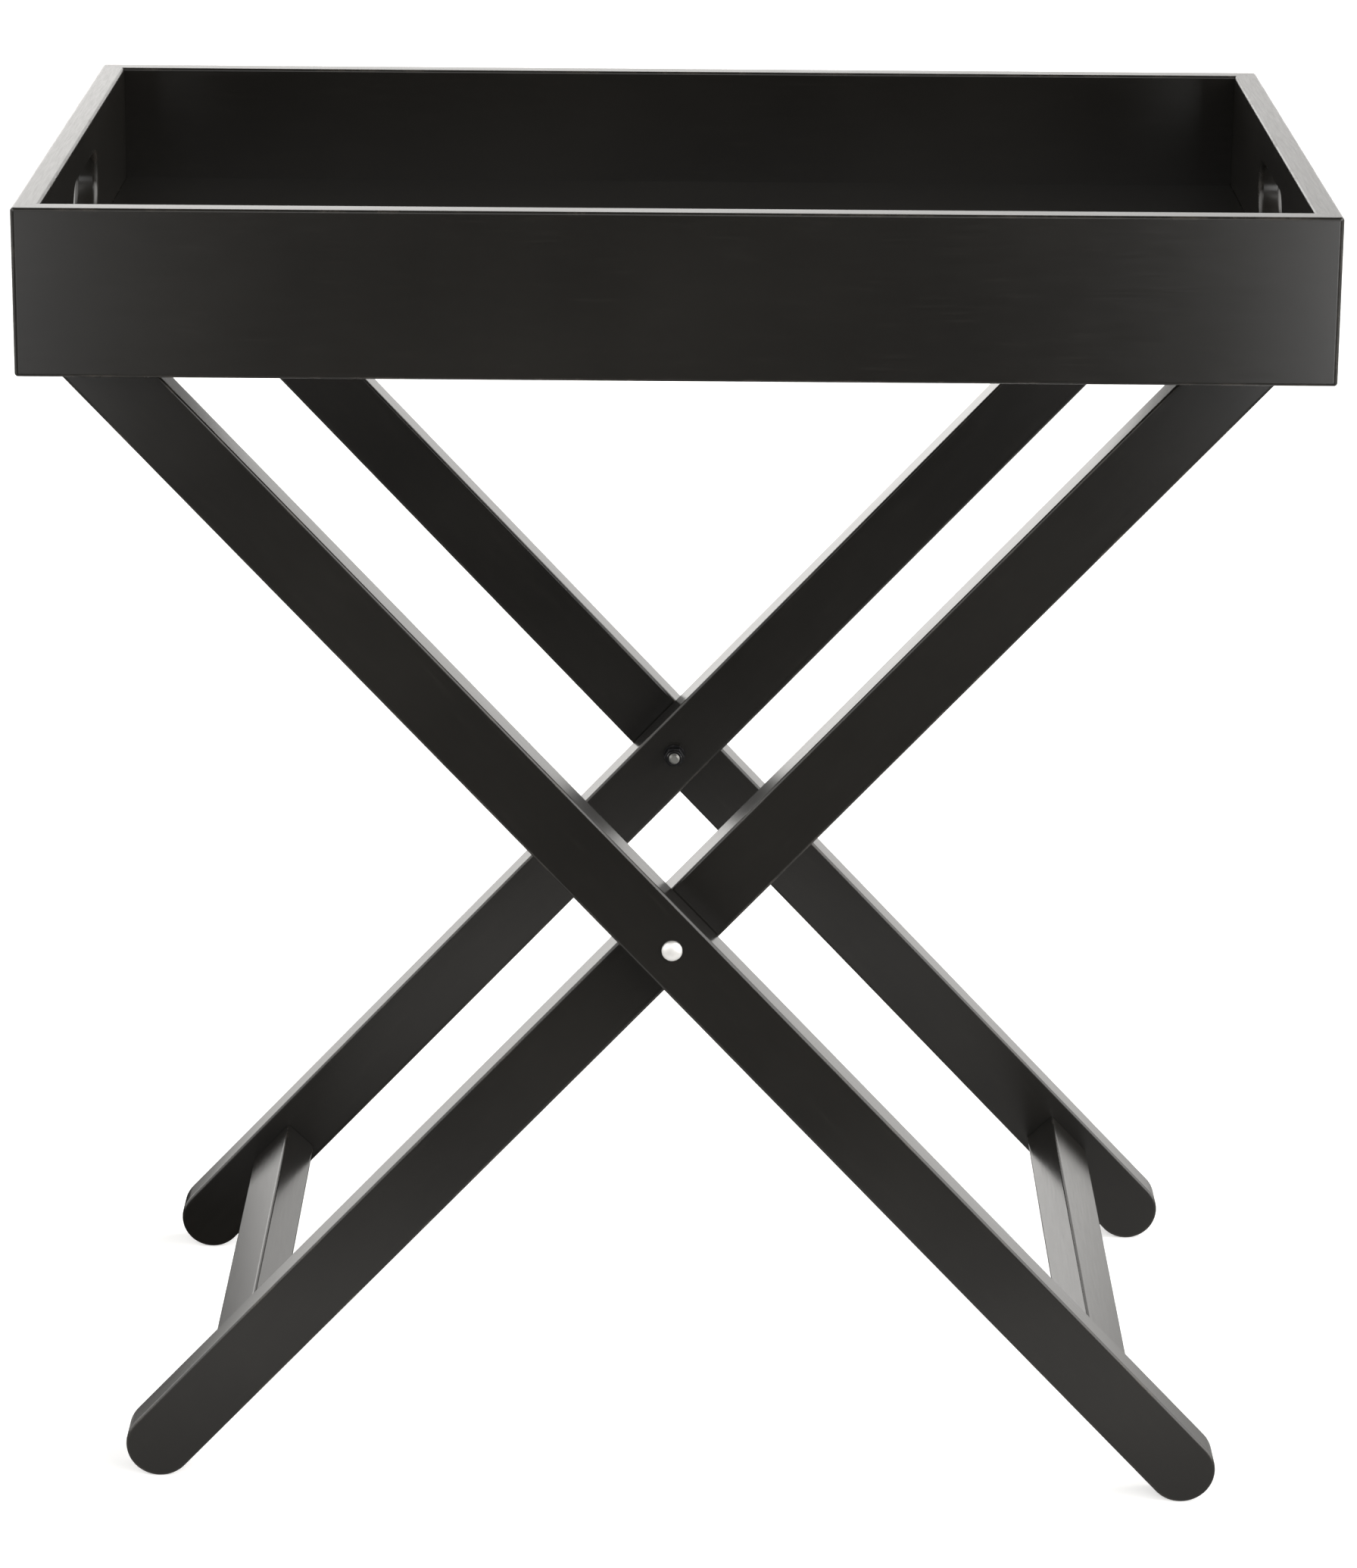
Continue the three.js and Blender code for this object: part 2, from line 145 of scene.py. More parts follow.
def soft_rectangle(x, y, width, height, radius, steps, worn=True):
    """A rectangle round (x, y) with rounded corners, anticlockwise."""
    right, left = x + width / 2 - radius, x - width / 2 + radius
    high, low = y + height / 2 - radius, y - height / 2 + radius
    corners = [(right, high), (left, high), (left, low), (right, low)]
    outline = []
    for index, (corner_x, corner_y) in enumerate(corners):
        start = index * QUARTER
        corner = arc(corner_x, corner_y, radius, start, start + QUARTER, steps, worn)
        if outline and math.dist(outline[-1][:2], corner[0][:2]) < SAME_POINT:
            corner.pop(0)
        outline += corner
    if math.dist(outline[-1][:2], outline[0][:2]) < SAME_POINT:
        outline.pop()
    return outline


def moved_in(outline, inset):
    """The outline moved towards the left of its direction, which is into the solid."""
    points = [Vector((x, y)) for x, y, _ in outline]
    moved = []
    for index, point in enumerate(points):
        before = (point - points[index - 1]).normalized()
        after = (points[(index + 1) % len(points)] - point).normalized()
        side_before = Vector((-before.y, before.x))
        side_after = Vector((-after.y, after.x))
        mitre = (side_before + side_after).normalized()
        moved.append(point + mitre * (inset / mitre.dot(side_after)))
    return moved


def skin(bm, lower, upper):
    """Faces between two rings of vertices that run the same way."""
    for index in range(len(lower)):
        following = (index + 1) % len(lower)
        bm.faces.new((lower[index], lower[following], upper[following], upper[index]))


def ring_edges(bm, ring):
    """The edges that join a ring of vertices."""
    return [bm.edges.get((ring[index - 1], ring[index])) for index in range(len(ring))]


def wall_of(bm, wear, outline, half, edge, steps, middle=0.0):
    """The side of a slab along one outline, rounded over at both faces. Returns the two end rings."""
    rings = []
    for face in (-1, 1):
        turns = range(steps, -1, -1) if face < 0 else range(steps + 1)
        for turn in turns if edge else [0]:
            angle = QUARTER * turn / steps
            height = middle + face * (half - edge + edge * math.sin(angle))
            points = moved_in(outline, edge * (1 - math.cos(angle)))
            ring = []
            for point, (_, _, outline_wear) in zip(points, outline):
                vertex = bm.verts.new((point.x, point.y, height))
                vertex[wear] = max(outline_wear, math.sin(2 * angle))
                ring.append(vertex)
            rings.append(ring)
    for lower, upper in zip(rings, rings[1:]):
        skin(bm, lower, upper)
    return rings[0], rings[-1]


def pocket(bm, wear, x, y, radius, half, face, depth, steps=32):
    """A blind round hole sunk into one face of a slab. Returns its rim."""
    rim = []
    floor = []
    for px, py, _ in circle(x, y, radius, steps):
        rim.append(bm.verts.new((px, py, face * half)))
        floor.append(bm.verts.new((px, py, face * (half - depth))))
    skin(bm, rim, floor)
    bm.faces.new(floor)
    return rim


def finish_mesh(name, bm):
    """Turns the built mesh into an object with smooth rounded edges and flat faces."""
    bmesh.ops.remove_doubles(bm, verts=bm.verts, dist=SAME_POINT)
    bmesh.ops.recalc_face_normals(bm, faces=bm.faces)
    for face in bm.faces:
        face.smooth = True
    for edge in bm.edges:
        edge.smooth = len(edge.link_faces) == 2 and edge.calc_face_angle() < SHARP_ANGLE
    mesh = bpy.data.meshes.new(name)
    bm.to_mesh(mesh)
    bm.free()
    piece = bpy.data.objects.new(name, mesh)
    bpy.context.scene.collection.objects.link(piece)
    weighted = piece.modifiers.new("even shading", "WEIGHTED_NORMAL")
    weighted.mode = "FACE_AREA"
    weighted.keep_sharp = True
    return piece


def close_face(bm, rings, face):
    """Fills the flat face between an outer ring and the rings of its holes. Its normal is face * Z."""
    edges = [edge for ring in rings for edge in ring_edges(bm, ring)]
    bmesh.ops.triangle_fill(bm, use_beauty=True, edges=edges, normal=(0, 0, face))


def slab_mesh(outline, thickness, edge, holes=(), pockets=(), steps=4):
    """A flat board in X and Y, centred on Z = 0, with rounded edges, through holes and blind holes.

    holes are (clockwise outline, edge radius). pockets are (x, y, radius, face, depth).
    """
    bm = bmesh.new()
    wear = bm.verts.layers.float.new("wear")
    half = thickness / 2
    rims = {-1: [], 1: []}
    for loop, loop_edge in [(outline, edge), *holes]:
        low, high = wall_of(bm, wear, loop, half, loop_edge, steps)
        rims[-1].append(low)
        rims[1].append(high)
    for x, y, radius, face, depth in pockets:
        rims[face].append(pocket(bm, wear, x, y, radius, half, face, depth))
    for face, loops in rims.items():
        close_face(bm, loops, face)
    return bm


def turned_mesh(profile, steps=48):
    """A turned solid round the X axis, from a profile of (x, radius) that runs along +X."""
    bm = bmesh.new()
    bm.verts.layers.float.new("wear")
    rings = []
    for x, radius in profile:
        rings.append([bm.verts.new((x, px, py)) for px, py, _ in circle(0, 0, radius, steps)])
    for lower, upper in zip(rings, rings[1:]):
        skin(bm, lower, upper)
    bm.faces.new(rings[0])
    bm.faces.new(rings[-1])
    return bm


def whole_mesh(bm):
    """All the vertices, edges and faces."""
    return [*bm.verts, *bm.edges, *bm.faces]


def lay_down(bm):
    """Turns a flat-drawn piece so that its thickness runs along its own X."""
    bmesh.ops.rotate(bm, verts=bm.verts, matrix=Matrix.Rotation(QUARTER, 3, "Y"))


def cut_end(bm, point, outwards):
    """Cuts off what lies beyond a plane, and closes the cut."""
    cut = bmesh.ops.bisect_plane(
        bm, geom=whole_mesh(bm), plane_co=point, plane_no=outwards, clear_outer=True
    )
    edges = [item for item in cut["geom_cut"] if isinstance(item, bmesh.types.BMEdge)]
    bmesh.ops.edgenet_fill(bm, edges=edges)


def round_ends(bm, half_length, radius, steps=5):
    """Rounds a wall's outer face towards both ends, up to where the mitre cuts it."""
    straight = half_length - radius
    mitre_angle = QUARTER / 2
    for step in range(steps + 1):
        x = straight + radius * math.sin(mitre_angle * step / steps)
        for end in (-1, 1):
            place = (end * x, 0, 0)
            bmesh.ops.bisect_plane(bm, geom=whole_mesh(bm), plane_co=place, plane_no=(1, 0, 0))
    wear = bm.verts.layers.float["wear"]
    for vertex in bm.verts:
        past = abs(vertex.co.x) - straight
        if vertex.co.z > 0 and past > 0:
            vertex.co.z -= radius - math.sqrt(max(radius**2 - past**2, 0))
            vertex[wear] = max(vertex[wear], min(past / radius, 1))


def placement(x_axis, y_axis, origin):
    """The matrix that puts a piece's own X and Y along these directions, from this origin."""
    z_axis = x_axis.cross(y_axis)
    rotation = Matrix((x_axis, y_axis, z_axis)).transposed()
    return Matrix.Translation(origin) @ rotation.to_4x4()


def stand_for(piece, node, matrix, material):
    """The piece takes the place of a CAD node, with that node's body.

    Its vertices move to their places in the frame, and remember where they were on the piece itself,
    so that its material can follow the grain. No two pieces are cut from the same spot of the wood.
    """
    mesh = piece.data
    spot = GRAIN_STEP * len(placed)
    placed.append(piece)
    own = mesh.attributes.new("own_place", "FLOAT_VECTOR", "POINT")
    for vertex in mesh.vertices:
        own.data[vertex.index].vector = vertex.co + spot
    mesh.transform(matrix)
    mesh.materials.append(material)
    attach(piece, body_of[node])
    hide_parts(node)


# ---------------------------------------------------------------- materials


def new_material(name):
    """A material, with its node tree and its shader."""
    material = bpy.data.materials.new(name)
    material.use_nodes = True
    tree = material.node_tree
    return material, tree, tree.nodes["Principled BSDF"]


def add(tree, kind, **settings):
    """A node, with settings for its sockets by their names, or else for the node itself."""
    made = tree.nodes.new(kind)
    for key, value in settings.items():
        if key in made.inputs:
            made.inputs[key].default_value = value
        else:
            setattr(made, key, value)
    return made


def stretched(tree, scale, own=True):
    """Coordinates for a texture, scaled: the piece's own, with X along its grain, or the frame's."""
    if own:
        place = add(tree, "ShaderNodeAttribute", attribute_name="own_place").outputs["Vector"]
    else:
        place = add(tree, "ShaderNodeTexCoord").outputs["Object"]
    mapping = add(tree, "ShaderNodeMapping")
    mapping.inputs["Scale"].default_value = scale
    tree.links.new(place, mapping.inputs["Vector"])
    return mapping.outputs["Vector"]


def noise(tree, vector, scale, detail=4.0, roughness=0.5):
    """Cloudy noise, from 0 to 1 with most of it near 0.5."""
    made = add(tree, "ShaderNodeTexNoise", Scale=scale, Detail=detail, Roughness=roughness)
    tree.links.new(vector, made.inputs["Vector"])
    return made.outputs["Fac"]


def ranged(tree, value, low_in, high_in, low_out, high_out):
    """The value from one range stretched over another, and held at its ends."""
    made = add(tree, "ShaderNodeMapRange")
    limits = {"From Min": low_in, "From Max": high_in, "To Min": low_out, "To Max": high_out}
    for key, number in limits.items():
        made.inputs[key].default_value = number
    tree.links.new(value, made.inputs["Value"])
    return made.outputs["Result"]


def graded(tree, value, stops):
    """A number that runs straight from stop to stop, each (value, number)."""
    total = stops[0][1]
    for (low_in, low_out), (high_in, high_out) in zip(stops, stops[1:]):
        rise = ranged(tree, value, low_in, high_in, 0, high_out - low_out)
        total = combined(tree, "ADD", rise, total)
    return total


def combined(tree, operation, first, second):
    """A sum, difference or product of two numbers, each a constant or a socket."""
    made = add(tree, "ShaderNodeMath", operation=operation)
    for socket, value in zip(made.inputs, (first, second)):
        if isinstance(value, (int, float)):
            socket.default_value = value
        else:
            tree.links.new(value, socket)
    return made.outputs["Value"]


def blended(tree, share, first, second):
    """A colour between two colours, each a constant or a socket."""
    made = add(tree, "ShaderNodeMix", data_type="RGBA")
    tree.links.new(share, made.inputs["Factor"])
    for name, value in (("A", first), ("B", second)):
        socket = next(s for s in made.inputs if s.name == name and s.type == "RGBA")
        if isinstance(value, tuple):
            socket.default_value = (*value, 1)
        else:
            tree.links.new(value, socket)
    return next(s for s in made.outputs if s.type == "RGBA")


def bumped(tree, height, strength, distance):
    """The normal of a surface with this height, whose full range is the distance in metres."""
    made = add(tree, "ShaderNodeBump", Strength=strength, Distance=distance)
    tree.links.new(height, made.inputs["Height"])
    return made.outputs["Normal"]


def black_lacquer():
    """Satin black lacquer: the wood's grain shows faintly through it, and edges are rubbed a little."""
    material, tree, shader = new_material("black lacquer")
    grain = noise(tree, stretched(tree, (6, 90, 90)), 5, detail=6, roughness=0.6)
    clouds = noise(tree, stretched(tree, (1, 1, 1)), 7, detail=3)
    brush = noise(tree, stretched(tree, (3, 60, 60)), 16, detail=3)
    peel = noise(tree, stretched(tree, (1, 1, 1)), 420, detail=2)
    wear = add(tree, "ShaderNodeAttribute", attribute_name="wear").outputs["Fac"]
    scuffs = noise(tree, stretched(tree, (1, 1, 1)), 55, detail=5, roughness=0.7)
    rubbed = combined(tree, "MULTIPLY", wear, ranged(tree, scuffs, 0.48, 0.72, 0, 1))
    cloudy = ranged(tree, clouds, 0.35, 0.65, 0, 1)
    body = blended(tree, cloudy, (0.0068, 0.0062, 0.0052), (0.0102, 0.0094, 0.008))
    streaked = blended(tree, ranged(tree, grain, 0.55, 0.8, 0, 0.35), body, (0.02, 0.0185, 0.016))
    colour = blended(tree, ranged(tree, rubbed, 0, 1, 0, 0.5), streaked, (0.06, 0.05, 0.04))
    tree.links.new(colour, shader.inputs["Base Color"])
    sheen = ranged(tree, brush, 0.3, 0.7, 0.21, 0.25)
    roughness = combined(tree, "ADD", sheen, ranged(tree, rubbed, 0, 1, 0, 0.14))
    tree.links.new(roughness, shader.inputs["Roughness"])
    height = combined(tree, "ADD", grain, ranged(tree, peel, 0, 1, 0, 0.35))
    tree.links.new(bumped(tree, height, 0.12, 0.0001), shader.inputs["Normal"])
    shader.inputs["IOR"].default_value = 1.5
    return material


def polished_steel():
    """Bright plated steel with fine turning marks. It is darker and duller where the wear layer marks it, which on
    the bolt is its whole shank.
    """
    material, tree, shader = new_material("polished steel")
    smudges = noise(tree, stretched(tree, (1, 1, 1)), 260, detail=3)
    bright = blended(tree, smudges, (0.78, 0.77, 0.75), (0.92, 0.91, 0.89))
    wear = add(tree, "ShaderNodeAttribute", attribute_name="wear").outputs["Fac"]
    # darker where the wear layer is set, which on the bolt is its shank
    colour = blended(tree, wear, bright, (0.2, 0.2, 0.19))
    tree.links.new(colour, shader.inputs["Base Color"])
    tree.links.new(ranged(tree, smudges, 0.3, 0.7, 0.42, 0.5), shader.inputs["Roughness"])
    turning = noise(tree, stretched(tree, (1, 900, 900)), 2, detail=2)
    tree.links.new(bumped(tree, turning, 0.15, 0.00004), shader.inputs["Normal"])
    shader.inputs["Metallic"].default_value = 0.7
    return material


def blackened_steel():
    """Black oxide on steel, bare and brighter in places."""
    material, tree, shader = new_material("blackened steel")
    patches = noise(tree, stretched(tree, (1, 1, 1)), 500, detail=5, roughness=0.65)
    bare = ranged(tree, patches, 0.55, 0.75, 0, 1)
    colour = blended(tree, bare, (0.03, 0.03, 0.032), (0.16, 0.155, 0.15))
    tree.links.new(colour, shader.inputs["Base Color"])
    tree.links.new(ranged(tree, patches, 0.3, 0.7, 0.5, 0.3), shader.inputs["Roughness"])
    tree.links.new(bumped(tree, patches, 0.2, 0.00005), shader.inputs["Normal"])
    shader.inputs["Metallic"].default_value = 1.0
    return material


def black_nylon():
    """Plain black nylon with a fine speckle."""
    material, tree, shader = new_material("black nylon")
    speckle = noise(tree, stretched(tree, (1, 1, 1)), 900, detail=3)
    colour = blended(tree, speckle, (0.012, 0.012, 0.012), (0.03, 0.03, 0.031))
    tree.links.new(colour, shader.inputs["Base Color"])
    tree.links.new(ranged(tree, speckle, 0.3, 0.7, 0.45, 0.6), shader.inputs["Roughness"])
    tree.links.new(bumped(tree, speckle, 0.2, 0.00003), shader.inputs["Normal"])
    return material


def bare_beech():
    """Unfinished beech, for the dowels inside the joints."""
    material, tree, shader = new_material("bare beech")
    fibre = noise(tree, stretched(tree, (200, 200, 200), own=False), 2, detail=5)
    flecks = noise(tree, stretched(tree, (1, 1, 1), own=False), 700, detail=4)
    wood = blended(tree, fibre, (0.42, 0.26, 0.13), (0.62, 0.42, 0.24))
    colour = blended(tree, ranged(tree, flecks, 0.55, 0.7, 0, 0.6), wood, (0.3, 0.16, 0.08))
    tree.links.new(colour, shader.inputs["Base Color"])
    tree.links.new(ranged(tree, fibre, 0.2, 0.8, 0.6, 0.8), shader.inputs["Roughness"])
    tree.links.new(bumped(tree, fibre, 0.3, 0.0001), shader.inputs["Normal"])
    return material


lacquer = black_lacquer()
steel = polished_steel()
black_steel = blackened_steel()
nylon = black_nylon()
beech = bare_beech()

# ---------------------------------------------------------------- stand


def frame_axes(name):
    """A stand frame's directions: along its legs to the top, across them to their upper side."""
    turn = 1 if name == "outer" else -1
    along = Vector((turn * along_leg.x, 0, along_leg.z))
    across = Vector((turn * along_leg.z, 0, -along_leg.x))
    return along, across


def leg_outline():
    """The leg's outline: a half-round foot, and a top cut to clear the tray's floor at every fold."""
    half = LEG_WIDTH / 2
    low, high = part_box("outer_top_rail")
    nose = (high.z - low.z) / 2 - FIT_GAP
    folded = leg_angle + FOLD_TURN
    tip = rail_reach + (nose + half * math.cos(folded)) / math.sin(folded)
    shoulder = rail_reach + (nose - half * math.cos(leg_angle)) / math.sin(leg_angle)
    outline = [(-foot_reach, -half, 0.0), (tip, -half, 0.0)]
    outline += arc(rail_reach, 0, nose, QUARTER - folded, QUARTER - leg_angle, 12)
    outline += [(shoulder, half, 0.0)]
    outline += arc(-foot_reach, 0, half, QUARTER, 3 * QUARTER, 48)[:-1]
    return outline


def dowel_bores(name, end, along, across):
    """Where the stretcher's dowels stand on a leg, as (x, y, radius, low Y, high Y)."""
    bores = []
    for level in ("low", "high"):
        low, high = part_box(f"{name}_stretcher_dowel_{end}_{level}")
        centre = (low + high) / 2 - pivot
        radius = (high.z - low.z) / 2 + FIT_GAP
        bores.append((centre.dot(along), centre.dot(across), radius, low.y, high.y))
    return bores


def build_leg(name, end):
    """A leg with its pivot bore, and blind holes for its rail's tenon and its dowels."""
    node = f"{name}_leg_{end}"
    low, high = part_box(node)
    thickness = high.y - low.y
    along, across = frame_axes(name)
    z_axis = along.cross(across)
    centre = Vector((pivot.x, (low.y + high.y) / 2, pivot.z))
    inner_face = -1 if z_axis.y * centre.y > 0 else 1
    inside = min(abs(low.y), abs(high.y))
    _, rail_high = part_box(f"{name}_top_rail")
    tenon_depth = rail_high.y - inside + FIT_GAP
    pockets = [(rail_reach, 0, TENON_RADIUS + FIT_GAP, inner_face, tenon_depth)]
    for x, y, radius, dowel_low, dowel_high in dowel_bores(name, end, along, across):
        depth = max(abs(dowel_low), abs(dowel_high)) - inside + FIT_GAP
        pockets.append((x, y, radius, inner_face, depth))
    bore = circle(0, 0, BOLT_RADIUS + BORE_GAP, 32, clockwise=True)
    bm = slab_mesh(leg_outline(), thickness, LEG_EDGE, holes=[(bore, 0)], pockets=pockets)
    leg = finish_mesh(f"{name}_leg_{end}_board", bm)
    stand_for(leg, node, placement(along, across, centre), lacquer)


def build_stretcher(name):
    """The low bar between two legs, with rounded long edges."""
    node = f"{name}_stretcher"
    low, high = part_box(node)
    along, across = frame_axes(name)
    centre = (low + high) / 2
    outline = soft_rectangle(0, 0, STRETCHER_WIDTH, STRETCHER_THICKNESS, STRETCHER_EDGE, 5)
    bm = slab_mesh(outline, high.y - low.y, 0)
    lay_down(bm)
    bar = finish_mesh(f"{name}_stretcher_bar", bm)
    matrix = placement(along.cross(across), across, centre)
    stand_for(bar, node, matrix, lacquer)


def build_rail(name):
    """The round top rail, with a tenon at each end."""
    node = f"{name}_top_rail"
    low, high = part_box(node)
    radius = (high.z - low.z) / 2
    leg_low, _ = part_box(f"{name}_leg_back")
    shoulder = leg_low.y - FIT_GAP
    tip = high.y
    half = [
        (shoulder - RAIL_CHAMFER, radius),
        (shoulder, radius - RAIL_CHAMFER),
        (shoulder, TENON_RADIUS),
        (tip - RAIL_CHAMFER, TENON_RADIUS),
        (tip, TENON_RADIUS - RAIL_CHAMFER),
    ]
    profile = [(-x, r) for x, r in reversed(half)] + half
    rail = finish_mesh(f"{name}_top_rail_rod", turned_mesh(profile))
    centre = (low + high) / 2
    matrix = placement(Vector((0, 1, 0)), Vector((0, 0, 1)), centre)
    stand_for(rail, node, matrix, lacquer)


for frame_name in ("outer", "inner"):
    for end_name in ("front", "back"):
        build_leg(frame_name, end_name)
    build_stretcher(frame_name)
    build_rail(frame_name)

# ---------------------------------------------------------------- pivot hardware


def outwards_box(node):
    """How far a pivot piece reaches out from the middle plane, as (near, far), and its radius."""
    low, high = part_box(node)
    near, far = sorted((abs(low.y), abs(high.y)))
    return near, far, (high.x - low.x) / 2


def on_pivot(end, distance=0.0):
    """The matrix that puts a turned piece on the pivot's axis, with its +X outwards."""
    side = -1 if end == "front" else 1
    origin = Vector((pivot.x, side * distance, pivot.z))
    return placement(Vector((0, side, 0)), Vector((0, 0, 1)), origin)


def build_bolt(end):
    """The pivot bolt: a bright domed head over a duller shank, with its thread drawn as rings."""
    node = f"pivot_bolt_{end}"
    tip, top, head = outwards_box(node)
    leg_low, leg_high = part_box(f"outer_leg_{end}")
    seat = max(abs(leg_low.y), abs(leg_high.y)) + BOLT_HEAD_GAP
    dome = top - seat - BOLT_HEAD_RIM
    thread = tip + BOLT_CHAMFER
    profile = [(tip, BOLT_RADIUS - BOLT_CHAMFER), (thread, BOLT_RADIUS)]
    for turn in range(THREAD_TURNS):
        groove = thread + (turn + 0.5) * THREAD_PITCH
        profile += [(groove, BOLT_RADIUS - THREAD_DEPTH), (groove + THREAD_PITCH / 2, BOLT_RADIUS)]
    profile += [(seat, BOLT_RADIUS), (seat, head - BOLT_HEAD_CHAMFER), (seat + BOLT_HEAD_CHAMFER, head)]
    steps = 16
    for step in range(steps + 1):
        angle = QUARTER * step / steps
        profile.append((seat + BOLT_HEAD_RIM + dome * math.sin(angle), head * math.cos(angle)))
    bm = turned_mesh(profile, 64)
    wear = bm.verts.layers.float["wear"]
    # the whole shank below the head is marked in the wear layer, so that the steel is darker there
    for vertex in bm.verts:
        vertex[wear] = float(vertex.co.x < seat)
    bolt = finish_mesh(f"pivot_bolt_{end}_turned", bm)
    stand_for(bolt, node, on_pivot(end), steel)


def build_washer(node, end, material):
    """A flat ring round the bolt with eased edges."""
    near, far, radius = outwards_box(node)
    bore = circle(0, 0, BOLT_RADIUS + BORE_GAP, 48, clockwise=True)
    outline = circle(0, 0, radius, 64)
    bm = slab_mesh(outline, far - near, WASHER_EDGE, holes=[(bore, WASHER_EDGE)], steps=2)
    lay_down(bm)
    washer = finish_mesh(f"{node}_ring", bm)
    stand_for(washer, node, on_pivot(end, (near + far) / 2), material)


def build_nut(end):
    """The lock nut: a hexagon with eased edges, and the round collar that grips the bolt."""
    node = f"lock_nut_{end}"
    near, far, _ = outwards_box(node)
    hex_height = far - near - NUT_COLLAR_HEIGHT
    corner = NUT_ACROSS_FLATS / 2 / math.cos(math.pi / 6)
    hexagon = circle(0, 0, corner, 6)
    collar = circle(0, 0, NUT_COLLAR_RADIUS, 48)
    bore = circle(0, 0, BOLT_RADIUS + BORE_GAP, 48, clockwise=True)
    bm = bmesh.new()
    wear = bm.verts.layers.float.new("wear")
    shapes = [
        (hexagon, hex_height, NUT_COLLAR_HEIGHT / 2),
        (collar, NUT_COLLAR_HEIGHT, -hex_height / 2),
        (bore, far - near, 0),
    ]
    sides = [
        wall_of(bm, wear, outline, height / 2, NUT_EDGE, 3, middle)
        for outline, height, middle in shapes
    ]
    (hex_low, hex_high), (collar_low, collar_high), (bore_low, bore_high) = sides
    close_face(bm, [hex_high, bore_high], 1)
    close_face(bm, [hex_low, collar_high], -1)
    close_face(bm, [collar_low, bore_low], -1)
    lay_down(bm)
    nut = finish_mesh(f"lock_nut_{end}_hex", bm)
    stand_for(nut, node, on_pivot(end, (near + far) / 2), black_steel)


for end_name in ("front", "back"):
    build_bolt(end_name)
    build_washer(f"spacer_washer_{end_name}", end_name, nylon)
    build_washer(f"nut_washer_{end_name}", end_name, black_steel)
    build_nut(end_name)

# ---------------------------------------------------------------- tray


def hand_hole(height):
    """The round-ended slot in an end wall, clockwise, in the wall's own plane."""
    middle = height / 2 - HAND_HOLE_BELOW_RIM
    radius = HAND_HOLE_HEIGHT / 2
    slot = soft_rectangle(0, middle, HAND_HOLE_LENGTH, HAND_HOLE_HEIGHT, radius, 16, worn=False)
    return list(reversed(slot))


def board_outline(half_length, half_width):
    """A plain rectangle about the origin, anticlockwise."""
    return [
        (-half_length, -half_width, 0.0),
        (half_length, -half_width, 0.0),
        (half_length, half_width, 0.0),
        (-half_length, half_width, 0.0),
    ]


def build_wall(side, outwards, has_hand_hole):
    """A mitred wall board: its own X along it, Y up and Z outwards."""
    node = f"tray_wall_{side}"
    low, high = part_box(node)
    tray_low, tray_high = cad_box
    upwards = Vector((0, 0, 1))
    along = upwards.cross(outwards)
    size = high - low
    thickness = abs(size.dot(outwards))
    length = abs((tray_high - tray_low).dot(along))
    height = size.z
    half_length = length / 2
    outline = board_outline(half_length, height / 2)
    holes = [(hand_hole(height), HAND_HOLE_EDGE)] if has_hand_hole else []
    bm = slab_mesh(outline, thickness, WALL_EDGE, holes=holes, steps=5)
    round_ends(bm, half_length, CORNER_EDGE)
    for end in (-1, 1):
        corner = Vector((end * (half_length - MITRE_GAP), 0, thickness / 2))
        cut_end(bm, corner, Vector((end, 0, -1)).normalized())
    wall = finish_mesh(f"tray_wall_{side}_board", bm)
    matrix = placement(along, upwards, (low + high) / 2)
    stand_for(wall, node, matrix, lacquer)


def build_floor():
    """The tray's floor panel, between the walls' inner faces."""
    low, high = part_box("tray_floor")
    wall_low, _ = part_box("tray_wall_right")
    _, front_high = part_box("tray_wall_front")
    outline = board_outline(wall_low.x - FLOOR_GAP, -front_high.y - FLOOR_GAP)
    panel = finish_mesh("tray_floor_panel", slab_mesh(outline, high.z - low.z, FLOOR_EDGE, steps=2))
    matrix = Matrix.Translation((low + high) / 2)
    stand_for(panel, "tray_floor", matrix, lacquer)


build_wall("front", Vector((0, -1, 0)), False)
build_wall("back", Vector((0, 1, 0)), False)
build_wall("left", Vector((-1, 0, 0)), True)
build_wall("right", Vector((1, 0, 0)), True)
build_floor()

for node_name, dowel in frame["nodes"].items():
    if "dowel" in node_name:
        dowel.data.materials.clear()
        dowel.data.materials.append(beech)

# ---------------------------------------------------------------- studio

GROUND_RADIUS = 14
WARM_WHITE = (1, 0.985, 0.96, 1)  # the colour of the studio's light
FLOOR_GLOW = 0.42  # the floor's own light, which keeps the shadows faint

# Painted light and painted shadow: how bright the floor glows in the gloss of the wood, from the front to the
# back, as (Y, brightness).
FLOOR_FRONT = [(-0.8, 0.08), (-0.4, 0.8), (-0.15, 0.45)]
FLOOR_LEFT = [*FLOOR_FRONT, (0.1, 0), (0.56, 0), (0.68, 1.3), (1.1, 1.4)]
FLOOR_RIGHT = [*FLOOR_FRONT, (0.3, 0.6), (0.7, 1.3), (1.1, 1.4)]


